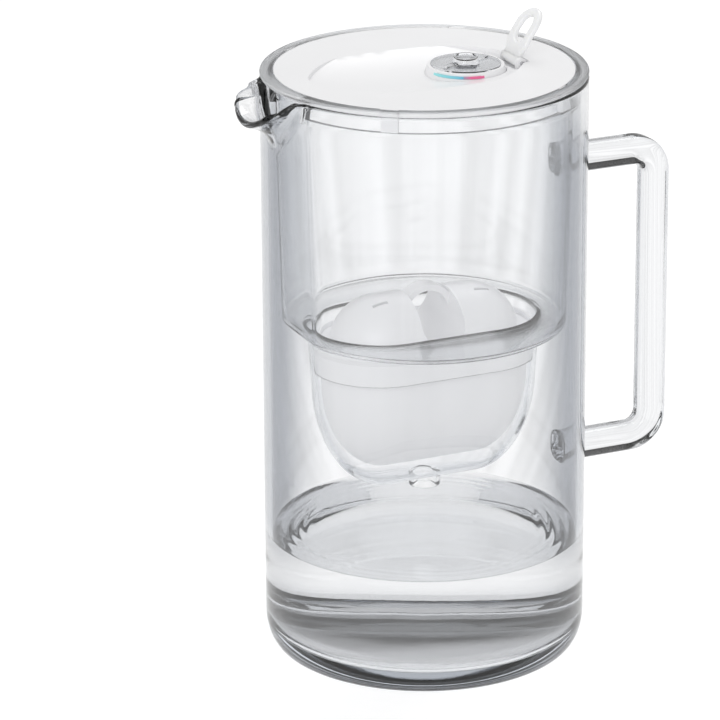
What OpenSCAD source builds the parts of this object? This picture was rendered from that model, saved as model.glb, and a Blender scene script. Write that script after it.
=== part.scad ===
// Water filter pitcher: a glass jug with a pulled spout and a fused square-rod handle, a clear
// hopper that hangs in its mouth, a filter cartridge that drops into the hopper's well, and a
// white lid with a folding pull ring and a turning filter-change dial.
//
// +Z is up and z = 0 is the table. The handle is towards +X and the spout towards -X, so the
// plane y = 0 is the mirror plane. Sizes are in millimetres.

/* [Jug] */
// Outer diameter of the glass body
jug_d = 140; // [130:1:160]
// Height of the glass rim above the table
jug_h = 258.2; // [245:0.1:280]
// Thickness of the glass wall
jug_wall = 3.2; // [2.6:0.1:3.6]
// Thickness of the heavy glass base
base_t = 9; // [6:0.5:12]
// Width of the rounding around the foot
foot_round_w = 7.5; // [4:0.5:9]
// Height of the rounding around the foot
foot_round_h = 14.5; // [8:0.5:18]
// Radius of the inside corner at the floor
floor_round = 9; // [4:0.5:14]
// Radius on both edges of the rim
rim_round = 1; // [0.4:0.1:1.2]

/* [Spout] */
// How far the tip of the lip stands out from the wall
spout_reach = 14.2; // [12:0.1:20]
// Where the spout leaves the wall, below the rim
spout_depth = 18.6; // [16:0.1:22]
// How far the lip falls from the rim to its tip
lip_drop = 13; // [9:0.2:14]
// Half angle of the conical channel
channel_angle = 47; // [40:1:50]
// How far the cone's point lies inside the wall's outer face
cone_inset = 4; // [3:0.5:6]
// Thickness of the glass in the spout
spout_wall = 2.8; // [2.2:0.1:3.4]

/* [Handle] */
// Side of the rounded-square glass rod
rod_w = 12.6; // [10:0.2:14]
// Radius on the rod's long edges
rod_round = 4.2; // [2:0.2:4.8]
// Gap for the fingers between the jug and the grip
finger_gap = 34.5; // [28:0.5:42]
// Height of the upper arm's centre line
upper_arm_z = 211.4; // [195:0.2:225]
// Height of the lower arm's centre line
lower_arm_z = 78.2; // [60:0.2:95]
// Inside radius of the two elbows
elbow_round = 4.4; // [3:0.2:12]
// Depth to which the arms are fused into the glass wall
fuse_depth = 2.2; // [1:0.1:2.2]

/* [Hopper] */
// Thickness of the ring that rests on the glass rim
flange_t = 2.2; // [1.6:0.1:3]
// Height of the collar inside the rim
collar_h = 9.6; // [8:0.2:14]
// Clearance of the collar in the jug's mouth
collar_gap = 0.4; // [0.3:0.1:0.8]
// Wall thickness of the hopper
hopper_wall = 2; // [1.6:0.1:2.4]
// Width of the step from the collar in to the bowl
collar_step = 2.8; // [2.2:0.1:4]
// Taper of the bowl's radius from top to floor
bowl_taper = 2.2; // [1:0.1:4]
// Height of the bowl's underside above the table
bowl_z = 148; // [140:1:160]
// Radius of the bowl's bottom edge
bowl_round = 3; // [2.4:0.2:6]
// Distance of the pouring flat from the bowl's round wall at the collar
flat_cut = 1.8; // [1:0.1:3]
// Taper of the pouring flat from top to floor
flat_taper = 3.2; // [1:0.1:4]
// Half width of the collar's window at the spout
window_half_w = 17; // [12:0.5:19]

/* [Cartridge well] */
// Distance of each round end's centre from the middle
end_centre = 21; // [18:0.5:22]
// Half width of the well's mouth
well_half_w = 31.6; // [30:0.1:32]
// Half width where the rounded bottom starts
well_waist = 29.6; // [28:0.1:30]
// Height of that waist above the table
waist_z = 122; // [116:1:126]
// Height of the well's underside above the table
well_z = 76; // [72:1:82]
// Wall thickness of the well
well_wall = 1.6; // [1.2:0.1:1.8]
// Height of the ledge that carries the cartridge
ledge_z = 130; // [127:0.5:134]
// Width of that ledge
ledge_w = 1.3; // [1:0.1:1.8]
// Outer radius of the outlet nozzle
nozzle_r = 6.9; // [5:0.1:8]
// Length of the outlet nozzle below the well
nozzle_l = 4; // [2:0.5:6]

/* [Lid] */
// Width of the flange ring that shows around the lid
flange_w = 5.7; // [4.8:0.1:8]
// Clearance of the lid in the flange
lid_gap = 0.3; // [0.2:0.05:0.5]
// Thickness of the lid
lid_t = 2; // [1.6:0.1:2.6]
// How far the lid lies below the flange's top face
lid_sink = 0.2; // [0:0.1:0.6]
// Depth of the dish in the middle
dish_depth = 4.6; // [3:0.2:6]
// Radius of the dish across the spout axis
dish_cross_r = 109; // [90:1:130]
// Distance from the dish's middle to where its curve runs out
dish_run = 75; // [68:1:90]
// Flat rim left between the dish and the lid's edge towards the spout
front_rim_w = 10; // [8:0.5:16]
// Flat rim left between the dish and the lid's edge towards the handle
back_rim_w = 17; // [14:0.5:18]
// Half width of the dish's outline
dish_half_w = 35; // [32:0.5:38]
// How far the points of that outline are blunted
dish_blunt = 2; // [1:0.5:4]
// Width of each of the four legs
leg_w = 7; // [5:0.5:9]
// Thickness of the legs
leg_t = 1.8; // [1.4:0.1:2.2]
// Angle of the legs from the spout and from the handle
leg_angle = 52; // [45:1:60]

/* [Dial] */
// Distance of the dial's middle from the ring's hinge
dial_to_hinge = 22; // [21.8:0.2:25]
// Radius of the clear dial disc
dial_r = 15; // [12:0.5:15]
// Thickness of the clear disc
dial_t = 1.6; // [1.2:0.1:2]
// Radius of the hub at its top
hub_top_r = 5.25; // [4:0.25:6]
// Radius of the hub at its foot
hub_foot_r = 5.9; // [4.5:0.1:6.5]
// Height of the hub above the disc
hub_h = 3; // [2:0.2:4]
// Radius of the spindle
spindle_r = 2.5; // [2:0.1:3]
// Running clearance of the spindle, on the radius
spindle_gap = 0.06; // [0.02:0.01:0.1]
// Width of the bezel's rim around the disc
bezel_w = 1.2; // [1:0.1:1.6]
// Clearance of the disc in the bezel
dial_gap = 0.3; // [0.2:0.05:0.5]

/* [Pull ring] */
// Distance of the hinge from the lid's edge
hinge_inset = 22.5; // [22:0.5:23]
// Depth of the hinge pin below the lid's top face
hinge_sink = 0.8; // [0:0.1:1]
// Radius of the hinge pin
pin_r = 1; // [0.8:0.1:1.2]
// Running clearance of the ring on its pin, on the radius
pin_gap = 0.06; // [0.02:0.01:0.1]
// Width of the ring
ring_w = 17; // [16:0.5:20]
// Length of the ring from the hinge to its top
ring_l = 24; // [23:0.5:28]
// Thickness of the ring
ring_t = 2.4; // [2:0.1:3.2]
// Width of the ring's finger slot
slot_w = 9; // [8:0.2:11]
// Start of the slot above the hinge
slot_from = 7.6; // [6:0.2:9]
// Material left above the slot
slot_top = 4; // [3:0.2:5]
// Lean of the ring at the hinge, away from upright
lean = 17; // [5:1:22]
// How much further it leans at its top
bend = 30; // [10:1:36]
// Width of the hinge barrel
barrel_w = 13.4; // [10:0.2:14]
// Thickness of each hinge ear
ear_t = 2.4; // [2:0.1:2.6]
// Side clearance between the barrel and each ear
ear_gap = 0.3; // [0.2:0.05:0.5]

/* [Cartridge] */
// Clearance of the cartridge's rim band in the well
band_gap = 0.4; // [0.3:0.05:0.8]
// Height of the rim band
band_h = 14; // [10:0.5:16]
// Half width of the cup under the band
cup_half_w = 25.4; // [24:0.1:26]
// Gap between the bottoms of the cup and the well
cup_lift = 8; // [6:0.5:12]
// Wall thickness of the cup and its cover
cup_wall = 1.4; // [1:0.1:1.8]
// Depth of the cover below the band's lip
cover_sink = 2; // [1:0.5:4]
// Height of the two domes
dome_h = 20; // [16:0.5:22]
// Half width of the domes at their foot
dome_half_w = 22; // [18:0.5:24]
// Radius of the valley between the domes
valley_r = 10; // [8:0.5:11]
// Width of the grip loop's strap
loop_w = 7; // [5:0.5:9]
// Thickness of the grip loop's strap
loop_t = 2.8; // [2:0.1:3.4]
// Length of each water inlet slot
inlet_l = 7; // [5:0.5:9]
// Width of each water inlet slot
inlet_w = 1.6; // [1:0.1:2]
// Thickness of each fleece pad
fleece_t = 4; // [3:0.5:6]
// Thickness of the two screens
screen_t = 1; // [0.6:0.1:1.2]

/* [Hidden] */
$fn = 96;

far = 400;                                  // longer than anything that is cut
seat_gap = 0.05;                            // gap between faces that rest on each other
jug_r = jug_d / 2;
mouth_r = jug_r - jug_wall;                 // inside of the jug
flange_top = jug_h + flange_t;
collar_r = mouth_r - collar_gap;            // outside of the collar
collar_z = jug_h - collar_h;                // lower edge of the collar
bowl_top_r = collar_r - collar_step;        // outside of the bowl under the collar
bowl_bottom_r = bowl_top_r - bowl_taper;
flat_top_x = bowl_top_r - flat_cut;         // pouring flat, outside face
flat_bottom_x = flat_top_x - flat_taper;
bowl_floor_z = bowl_z + hopper_wall;
seat_z = collar_z + hopper_wall;            // step that carries the lid's legs

lid_r = jug_r - flange_w - lid_gap;
lid_top = flange_top - lid_sink;
hinge_x = lid_r - hinge_inset;
dial_x = hinge_x - dial_to_hinge;
dish_front = lid_r - front_rim_w;
dish_back = lid_r - back_rim_w;
dish_mid = (dish_back - dish_front) / 2;    // middle of the dish along X
dish_half_l = (dish_back + dish_front) / 2;

grip_x = jug_r + finger_gap + rod_w / 2;    // centre line of the grip
elbow_r = elbow_round + rod_w / 2;          // centre-line radius of the elbows

bezel_top = lid_top - 0.5;
bezel_r = dial_r + dial_gap + bezel_w;      // outside of the bezel at its top
bezel_foot_r = bezel_r + 1;                 // and at its foot
bezel_foot_z = lid_top - dish_depth - 0.2;  // underside of the bezel, sunk in the dish
bezel_floor_z = lid_top - dial_t - 1;       // floor under the disc
seat_t = 1.4;                               // floor of the bezel's seat
washer_t = 0.5;
boss_r = 6;                                 // boss under the lid around the spindle
boss_z = lid_top - dish_depth - lid_t - 1;  // its lower end
retainer_t = 1;
spindle_end = boss_z - retainer_t - 1.4;

hinge_z = lid_top - hinge_sink;
pocket_depth = 3;                           // clear room under the hinge pin
barrel_r = 2.2;                             // radius of the ring's barrel and the ears
pocket_half_w = barrel_w / 2 + ear_gap + ear_t + 0.8;
pocket_half_l = barrel_r + 1.2;

band_bottom = ledge_z + seat_gap;
band_top = band_bottom + band_h;
cup_z = well_z + well_wall + cup_lift;      // underside of the cartridge cup
cover_z = band_top - cover_sink;            // top of the cover's flat rim
valley_z = cover_z + valley_r;              // axis of the valley
granule_z = cup_z + cup_wall + screen_t + fleece_t;
lip_in_w = band_w(band_top) - cup_wall;     // inside of the band's lip, and the cover's rim
seal_h = 2;                                 // height of the seal's groove
seal_deep = 0.8;                            // and its depth
seal_z = band_top - 4.4;

// ---- helpers -------------------------------------------------------------------------------

// Points of a quarter ellipse about the origin, from angle a to angle b.
function arc(rx, ry, a, b, n) = [for (i = [0 : n]) let (t = a + (b - a) * i / n) [rx * cos(t), ry * sin(t)]];

function shift(points, dx, dy) = [for (p = points) [p[0] + dx, p[1] + dy]];

// A 2D rounded square centred on the origin.
module round_square(w, r) {
    square([w - 2 * r, w], center = true);
    square([w, w - 2 * r], center = true);
    for (x = [-1, 1], y = [-1, 1])
        translate([x * (w / 2 - r), y * (w / 2 - r)]) circle(r);
}

// Sweeps a half profile, drawn in x >= 0, round a stadium whose ends are centred at +-c.
module stadium_sweep(c) {
    for (side = [-1, 1])
        translate([side * c, 0, 0]) rotate_extrude() children();
    rotate([90, 0, 90])
        linear_extrude(height = 2 * c, center = true) {
            children();
            mirror([1, 0]) children();
        }
}

// Half profile of the well and everything nested in it: straight taper above a rounded bottom.
module nested_profile(top_w, top_z, waist_w, bottom_z) {
    polygon(concat([[0, top_z], [0, bottom_z]],
                   shift(arc(waist_w, waist_z - bottom_z, -90, 0, 20), 0, waist_z),
                   [[top_w, top_z]]));
}

module nested_solid(top_w, top_z, waist_w, bottom_z)
    stadium_sweep(end_centre) nested_profile(top_w, top_z, waist_w, bottom_z);

// The half width of the well's outside at height z above the waist.
function well_w(z) = well_waist + (well_half_w - well_waist) * (z - waist_z) / (bowl_floor_z - waist_z);

// The same for the cartridge's rim band, which has the well's taper.
function band_w(z) = well_w(z) - well_wall - band_gap;

// ---- jug -----------------------------------------------------------------------------------

// Outline of the full jug without its hollow: a rounded foot, a straight wall and a soft rim.
module jug_outline() {
    difference() {
        polygon(concat([[0, jug_h], [0, 0]],
                       shift(arc(foot_round_w, foot_round_h, -90, 0, 16), jug_r - foot_round_w, foot_round_h),
                       [[jug_r, jug_h]]));
        translate([jug_r - rim_round, jug_h - rim_round]) square(rim_round + 1);
    }
    translate([jug_r - rim_round, jug_h - rim_round]) circle(rim_round);
}

module jug_hollow() {
    rotate_extrude() {
        translate([0, base_t + floor_round]) square([mouth_r, jug_h]);
        translate([0, base_t]) square([mouth_r - floor_round, floor_round + 1]);
        translate([mouth_r - floor_round, base_t + floor_round]) circle(floor_round);
        // rounds the rim's inner edge
        difference() {
            translate([mouth_r - 1, jug_h - rim_round]) square(rim_round + 1);
            translate([mouth_r + rim_round, jug_h - rim_round]) circle(rim_round);
        }
    }
}

// The spout's lower line runs from the wall to the tip; the cone's point lies on it, inside.
spout_slope = atan((spout_depth - lip_drop) / spout_reach);
cone_x = -jug_r + cone_inset;
cone_z = jug_h - spout_depth - cone_inset * tan(spout_slope);

// The conical channel, its surface moved inwards by inset.
module spout_cone(inset) {
    tilt = 90 - spout_slope - channel_angle;
    length = spout_reach * 3;
    translate([cone_x, 0, cone_z]) rotate([0, -tilt, 0])
        translate([0, 0, inset / sin(channel_angle)])
            cylinder(r1 = 0, r2 = length * tan(channel_angle), h = length);
}

// Everything below the lip: a cylinder across the spout, level at the wall and falling outwards.
module lip_limit() {
    run = spout_reach + cone_inset;
    lip_r = (run * run + lip_drop * lip_drop) / (2 * lip_drop);
    translate([cone_x, 0, jug_h - lip_r]) rotate([90, 0, 0])
        cylinder(r = lip_r, h = jug_d, center = true, $fn = 240);
}

module handle_rod() {
    section = rod_w;
    // the two arms, from the jug's axis out to the elbows
    for (z = [lower_arm_z, upper_arm_z])
        translate([0, 0, z]) rotate([90, 0, 90])
            linear_extrude(height = grip_x - elbow_r) round_square(section, rod_round);
    // the grip
    translate([grip_x, 0, lower_arm_z + elbow_r])
        linear_extrude(height = upper_arm_z - lower_arm_z - 2 * elbow_r)
            round_square(section, rod_round);
    // the elbows
    translate([grip_x - elbow_r, 0, upper_arm_z - elbow_r]) rotate([90, 0, 0])
        rotate_extrude(angle = 90) translate([elbow_r, 0]) round_square(section, rod_round);
    translate([grip_x - elbow_r, 0, lower_arm_z + elbow_r]) rotate([90, 90, 0])
        rotate_extrude(angle = 90) translate([elbow_r, 0]) round_square(section, rod_round);
}

module fused_rod() {
    difference() {
        handle_rod();
        cylinder(r = jug_r - fuse_depth, h = far);
    }
}

module glass_jug() color([0.86, 0.90, 0.92, 0.35]) {
    difference() {
        union() {
            rotate_extrude() jug_outline();
            intersection() {
                spout_cone(0);
                lip_limit();
            }
        }
        jug_hollow();
        spout_cone(spout_wall);
        fused_rod();
    }
}

module handle() color([0.86, 0.90, 0.92, 0.35]) fused_rod();

// ---- hopper --------------------------------------------------------------------------------

// The bowl with its outer faces moved inwards by inset: a taper cut by the pouring flat.
module bowl_solid(inset, bottom, top) {
    fall = (collar_z - bowl_z);
    flat_lean = atan(flat_taper / fall);
    difference() {
        rotate_extrude() {
            polygon([[0, top], [0, bottom], [bowl_bottom_r - inset - bowl_round, bottom],
                     [bowl_bottom_r - inset, bottom + bowl_round],
                     [bowl_bottom_r - inset + bowl_taper * (top - bottom - bowl_round) / fall, top]]);
            translate([bowl_bottom_r - inset - bowl_round, bottom + bowl_round]) circle(bowl_round);
        }
        translate([-flat_bottom_x + inset, 0, bowl_z]) rotate([0, -flat_lean, 0])
            translate([-far, -far / 2, -far / 2]) cube(far);
    }
}

module collar_ring() {
    rotate_extrude() {
        // flange with a round outer edge, resting on the glass rim
        translate([jug_r - flange_w, jug_h + seat_gap])
            square([flange_w - flange_t / 2, flange_t - seat_gap]);
        translate([jug_r - flange_t / 2, jug_h + flange_t / 2 + seat_gap / 2])
            circle((flange_t - seat_gap) / 2);
        // collar and the step in to the bowl
        translate([jug_r - flange_w, collar_z])
            square([collar_r - jug_r + flange_w, collar_h + 1]);
        translate([bowl_top_r - hopper_wall, collar_z])
            square([collar_r - bowl_top_r + hopper_wall, hopper_wall]);
    }
}

module well_outside() nested_solid(well_half_w, bowl_floor_z, well_waist, well_z);

module well_inside() {
    inner_waist = well_waist - well_wall;
    // below the ledge
    intersection() {
        nested_solid(well_half_w - well_wall - ledge_w, bowl_floor_z, inner_waist - ledge_w / 2,
                     well_z + well_wall);
        translate([-far / 2, -far / 2, 0]) cube([far, far, ledge_z + 0.1]);
    }
    // above the ledge, where the rim band sits
    stadium_sweep(end_centre)
        polygon([[0, ledge_z], [well_w(ledge_z) - well_wall, ledge_z],
                 [well_w(bowl_floor_z + 1) - well_wall, bowl_floor_z + 1], [0, bowl_floor_z + 1]]);
}

// The bowl's flat, carried up to the flange, and the collar's two ends beside the window.
module window_frame() {
    web_x = flat_top_x - 2 * hopper_wall;
    intersection() {
        bowl_solid(0, collar_z, flange_top);
        translate([-far, -window_half_w - hopper_wall, collar_z])
            cube([far - web_x, 2 * (window_half_w + hopper_wall), collar_h - 0.3]);
    }
    intersection() {
        cylinder(r = collar_r, h = jug_h);
        for (side = [-1, 1])
            translate([-far, side * (window_half_w + hopper_wall / 2) - hopper_wall / 2, collar_z])
                cube([far - web_x, hopper_wall, collar_h + 1]);
    }
}

module hopper() color([0.88, 0.90, 0.92, 0.4]) {
    notch_half = leg_w / 2 + 0.4;
    difference() {
        union() {
            collar_ring();
            window_frame();
            bowl_solid(0, bowl_z, seat_z);
            well_outside();
            translate([0, 0, well_z - nozzle_l]) cylinder(r = nozzle_r, h = nozzle_l + well_wall);
        }
        bowl_solid(hopper_wall, bowl_floor_z, flange_top + 1);
        well_inside();
        // outlet
        translate([0, 0, well_z - nozzle_l - 1])
            cylinder(r = nozzle_r - well_wall, h = nozzle_l + well_wall + 2);
        // window in the collar, so that filtered water reaches the spout
        difference() {
            translate([-far, -window_half_w, collar_z - 1])
                cube([far, 2 * window_half_w, collar_h + 1]);
            bowl_solid(0, bowl_z, flange_top + 1);
        }
        // seats in the flange for the lid's legs
        for (side = [0, 180], turn = [-leg_angle, leg_angle])
            rotate([0, 0, side + turn]) translate([0, -notch_half, jug_h - 1.6])
                cube([lid_r + lid_gap + 0.9, 2 * notch_half, far]);
    }
}

// ---- lid -----------------------------------------------------------------------------------

// The dish as a spindle lying along the spout axis, its surface moved outwards by grow.
module dish_spindle(grow) {
    run_r = (dish_run * dish_run + dish_depth * dish_depth) / (2 * dish_depth);
    axis_z = lid_top - dish_depth + dish_cross_r;
    translate([dish_mid, 0, axis_z]) rotate([0, 90, 0])
        rotate_extrude($fn = 240) intersection() {
            translate([dish_cross_r - run_r, 0]) circle(run_r + grow, $fn = 360);
            translate([0, -dish_run]) square([far, 2 * dish_run]);
        }
}

// The dish's plan: two arcs that meet at a point towards the spout and towards the handle.
module dish_plan(grow) {
    side_r = (dish_half_l * dish_half_l + dish_half_w * dish_half_w) / (2 * dish_half_w);
    translate([dish_mid, 0, 0]) intersection_for (side = [-1, 1])
        translate([0, side * (side_r - dish_half_w), 0]) cylinder(r = side_r + grow, h = far, $fn = 180);
}

module dish(grow) {
    intersection() {
        dish_spindle(grow);
        dish_plan(grow);
        // blunts the two points
        translate([dish_mid, 0, 0]) cylinder(r = dish_half_l - dish_blunt + grow, h = far, $fn = 180);
    }
}

module hinge_pocket(grow) {
    translate([hinge_x - pocket_half_l - grow, -pocket_half_w - grow, hinge_z - pocket_depth - grow])
        cube([2 * (pocket_half_l + grow), 2 * (pocket_half_w + grow), far]);
}

module hinge_ear() {
    rotate([90, 0, 0]) cylinder(r = barrel_r, h = ear_t, center = true, $fn = 48);
    translate([-barrel_r, -ear_t / 2, -pocket_depth - 0.5]) cube([2 * barrel_r, ear_t, pocket_depth + 0.5]);
}

module lid() color("white") {
    leg_top = lid_top - lid_t / 2;
    difference() {
        union() {
            // disc, and the skin below the dish and the hinge pocket
            difference() {
                intersection() {
                    translate([0, 0, lid_top - far]) cylinder(r = lid_r, h = far, $fn = 180);
                    union() {
                        translate([0, 0, lid_top - lid_t]) cylinder(r = lid_r, h = lid_t);
                        dish(lid_t);
                        hinge_pocket(lid_t);
                    }
                }
                dish(0);
                hinge_pocket(0);
            }
            // round seat for the bezel and the boss around the spindle
            translate([dial_x, 0, boss_z]) cylinder(r = boss_r, h = bezel_foot_z - boss_z);
            translate([dial_x, 0, bezel_foot_z - seat_t]) cylinder(r = bezel_foot_r + 0.5, h = seat_t);
            // ears of the ring's hinge
            for (side = [-1, 1])
                translate([hinge_x, side * (barrel_w / 2 + ear_gap + ear_t / 2), hinge_z]) hinge_ear();
            // four legs that stand on the hopper's step
            for (side = [0, 180], turn = [-leg_angle, leg_angle])
                rotate([0, 0, side + turn]) intersection() {
                    translate([lid_r - leg_t - 0.4, -leg_w / 2, seat_z + seat_gap])
                        cube([leg_t, leg_w, leg_top - seat_z - seat_gap]);
                    cylinder(r = lid_r, h = far);
                }
        }
        // room for the bezel, and the spindle's bore
        translate([dial_x, 0, bezel_foot_z]) cylinder(r = bezel_foot_r + seat_gap, h = far);
        translate([dial_x, 0, boss_z - 1]) cylinder(r = spindle_r + spindle_gap, h = far);
        // bore for the hinge pin
        translate([hinge_x, 0, hinge_z]) rotate([90, 0, 0])
            cylinder(r = pin_r, h = 2 * (pocket_half_w + lid_t / 2), center = true, $fn = 48);
    }
}

// ---- dial ----------------------------------------------------------------------------------

arc_from = 198;      // the colour band starts on the spout side
arc_mid = 234;       // changes colour here
arc_to = 267;        // and ends by the near side
arc_deep = 0.35;     // how far the bands are let into the bezel

// A colour band on the bezel's sloping side, between two angles.
module bezel_band(from, to) {
    high = bezel_top - 0.5;
    low = bezel_top - 2.3;
    slope = (bezel_foot_r - bezel_r) / (bezel_top - bezel_foot_z);
    r_high = bezel_r + slope * (bezel_top - high);
    r_low = bezel_r + slope * (bezel_top - low);
    translate([dial_x, 0, 0]) rotate([0, 0, from]) rotate_extrude(angle = to - from, $fn = 180)
        polygon([[r_high - arc_deep, high], [r_high, high], [r_low, low], [r_low - arc_deep, low]]);
}

module dial_bezel() color("white") {
    difference() {
        translate([dial_x, 0, bezel_foot_z])
            cylinder(r1 = bezel_foot_r, r2 = bezel_r, h = bezel_top - bezel_foot_z);
        translate([dial_x, 0, bezel_floor_z]) cylinder(r = dial_r + dial_gap, h = far);
        translate([dial_x, 0, 0]) cylinder(r = spindle_r + spindle_gap, h = far);
        bezel_band(arc_from, arc_to);
    }
}

module fresh_arc() color([0.25, 0.75, 0.9]) bezel_band(arc_from, arc_mid);

module change_arc() color([0.9, 0.25, 0.45]) bezel_band(arc_mid, arc_to);

module dial_washer() color([0.75, 0.76, 0.78]) {
    translate([dial_x, 0, bezel_floor_z + seat_gap]) difference() {
        cylinder(r = hub_foot_r, h = washer_t);
        translate([0, 0, -1]) cylinder(r = spindle_r + 0.4, h = washer_t + 2);
    }
}

module dial_knob() color([0.8, 0.83, 0.86, 0.5]) {
    disc_z = lid_top - dial_t;
    wing_l = dial_r - hub_top_r - 2.4;
    translate([dial_x, 0, 0]) {
        difference() {
            union() {
                translate([0, 0, disc_z]) cylinder(r = dial_r, h = dial_t);
                translate([0, 0, lid_top - 0.1]) cylinder(r1 = hub_foot_r, r2 = hub_top_r, h = hub_h + 0.1);
                // two grip wings on the disc, either side of the hub
                for (side = [0, 180])
                    rotate([0, 0, side + 20]) translate([hub_top_r, -1.1, lid_top - 0.1])
                        cube([wing_l, 2.2, 1.1]);
            }
            // shallow cup in the hub's top
            translate([0, 0, lid_top + hub_h - 0.5]) cylinder(r1 = hub_top_r - 1.4, r2 = hub_top_r - 0.8, h = 1);
        }
        translate([0, 0, spindle_end]) cylinder(r = spindle_r, h = disc_z - spindle_end + 0.1, $fn = 48);
    }
}

module dial_retainer() color("white") {
    translate([dial_x, 0, boss_z - seat_gap - retainer_t]) difference() {
        cylinder(r = boss_r - 1, h = retainer_t);
        translate([0, 0, -1]) cylinder(r = spindle_r, h = retainer_t + 2, $fn = 48);
    }
}

// ---- pull ring -----------------------------------------------------------------------------

bend_r = ring_l / (bend * PI / 180);        // radius of the ring's backward curve

// The curved sheet that the ring is cut from, with the hinge at the origin.
module bent_sheet() {
    rotate([0, lean, 0]) translate([bend_r, 0, 0]) rotate([90, 0, 0])
        difference() {
            cylinder(r = bend_r + ring_t / 2, h = ring_w + 2, center = true, $fn = 240);
            cylinder(r = bend_r - ring_t / 2, h = ring_w + 4, center = true, $fn = 240);
        }
}

// The ring's face outline, with the hinge line on y = 0.
module ring_outline() {
    shoulder = barrel_r + 1.3;
    top_r = ring_w / 2;
    difference() {
        union() {
            translate([-ring_w / 2, shoulder]) square([ring_w, ring_l - top_r - shoulder]);
            translate([0, ring_l - top_r]) circle(top_r);
            translate([-barrel_w / 2, 0]) square([barrel_w, shoulder + 1]);
        }
        translate([-slot_w / 2, slot_from + slot_w / 2])
            square([slot_w, ring_l - slot_top - slot_from - slot_w]);
        translate([0, slot_from + slot_w / 2]) circle(slot_w / 2);
        translate([0, ring_l - slot_top - slot_w / 2]) circle(slot_w / 2);
    }
}

module pull_ring() color([0.95, 0.96, 0.97, 0.85]) {
    translate([hinge_x, 0, hinge_z]) difference() {
        union() {
            intersection() {
                bent_sheet();
                rotate([0, lean + bend / 2, 0]) rotate([90, 0, 90])
                    linear_extrude(height = 6 * ring_t, center = true) ring_outline();
            }
            rotate([90, 0, 0]) cylinder(r = barrel_r, h = barrel_w, center = true, $fn = 48);
        }
        rotate([90, 0, 0]) cylinder(r = pin_r + pin_gap, h = ring_w + 2, center = true, $fn = 48);
    }
}

module ring_pin() color([0.75, 0.76, 0.78]) {
    translate([hinge_x, 0, hinge_z]) rotate([90, 0, 0])
        cylinder(r = pin_r, h = 2 * (pocket_half_w + 0.4), center = true, $fn = 48);
}

// ---- cartridge -----------------------------------------------------------------------------

module cup_outside(inset) {
    nested_solid(cup_half_w + 0.6 - inset, band_top, cup_half_w - inset, cup_z + inset);
}

// A stadium ring let into the rim band, standing out of it by proud.
module seal_ring(z, h, proud) {
    difference() {
        stadium_sweep(end_centre) translate([0, z]) square([band_w(z) + proud, h]);
        stadium_sweep(end_centre) translate([0, z - 1]) square([band_w(z) - seal_deep, h + 2]);
    }
}

module cartridge_cup() color("white") {
    drain_step = 9;
    drain_count = 2;
    difference() {
        union() {
            cup_outside(0);
            // rim band with its raised lip
            stadium_sweep(end_centre)
                polygon([[0, band_bottom], [band_w(band_bottom), band_bottom],
                         [band_w(band_top), band_top], [0, band_top]]);
        }
        cup_outside(cup_wall);
        // recess inside the lip that takes the cover
        stadium_sweep(end_centre)
            translate([0, cover_z - cup_wall]) square([lip_in_w, far]);
        // groove round the band for the seal
        seal_ring(seal_z, seal_h, 1);
        // outlet slots under the outlet screen
        for (i = [-drain_count : drain_count])
            translate([i * drain_step, 0, cup_z]) cube([2.4, 9, 4 * cup_wall], center = true);
    }
}

// One half profile of the domes, moved inwards by inset.
module dome_profile(inset) {
    polygon(concat([[0, 0]], arc(dome_half_w - inset, dome_h - inset, 0, 90, 16)));
}

module domes(inset) {
    translate([0, 0, cover_z - 0.01]) stadium_sweep(end_centre - 0.5) dome_profile(inset);
}

module valley(grow) {
    translate([0, 0, valley_z]) rotate([90, 0, 0])
        cylinder(r = valley_r + grow, h = far, center = true);
    translate([-valley_r - grow, -far / 2, valley_z]) cube([2 * (valley_r + grow), far, far]);
}

module cartridge_cover() color("white") {
    flat_half_w = lip_in_w - seat_gap;
    slot_x = end_centre + 3;
    slot_y = 7;
    difference() {
        union() {
            // flat rim inside the cup's lip
            stadium_sweep(end_centre) translate([0, cover_z - cup_wall + seat_gap])
                square([flat_half_w, cup_wall - seat_gap]);
            difference() {
                domes(0);
                valley(0);
            }
            // grip loop over the valley
            translate([0, 0, valley_z]) rotate([90, 0, 0]) difference() {
                cylinder(r = valley_r + loop_t, h = loop_w, center = true);
                cylinder(r = valley_r, h = loop_w + 2, center = true);
                translate([-far / 2, -far, -far / 2]) cube([far, far, far]);
            }
        }
        // hollow under the domes
        difference() {
            union() {
                domes(cup_wall);
                translate([0, 0, -cup_wall]) stadium_sweep(end_centre - 0.5)
                    translate([0, cover_z - 1]) square([dome_half_w - cup_wall, cup_wall + 2]);
            }
            valley(cup_wall);
        }
        // water inlets: two slots in each dome and a vent at the foot of one end
        for (side = [-1, 1], y = [-1, 1])
            translate([side * slot_x, y * slot_y, cover_z + dome_h - 2])
                cube([inlet_l, inlet_w, 10], center = true);
        translate([end_centre + dome_half_w - 0.5, 0, cover_z + 1.2]) cube([6, 5, 1], center = true);
    }
}

module cartridge_seal() color([0.93, 0.94, 0.95])
    seal_ring(seal_z + seat_gap, seal_h - 2 * seat_gap, 0.1);

// A flat pad that fills the cup's plan between two heights, clear of its wall.
module pad(bottom, top, clear) {
    intersection() {
        cup_outside(cup_wall + clear);
        translate([-far / 2, -far / 2, bottom]) cube([far, far, top - bottom]);
    }
}

module outlet_screen() color([0.9, 0.91, 0.92])
    pad(cup_z + cup_wall + 0.4, cup_z + cup_wall + 0.4 + screen_t, 0.3);

module lower_fleece() color([0.95, 0.95, 0.93])
    pad(cup_z + cup_wall + 0.5 + screen_t, granule_z, 0.3);

module filter_granules() color([0.25, 0.24, 0.22])
    pad(granule_z + seat_gap, cover_z - cup_wall - screen_t - fleece_t, 0.3);

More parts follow.
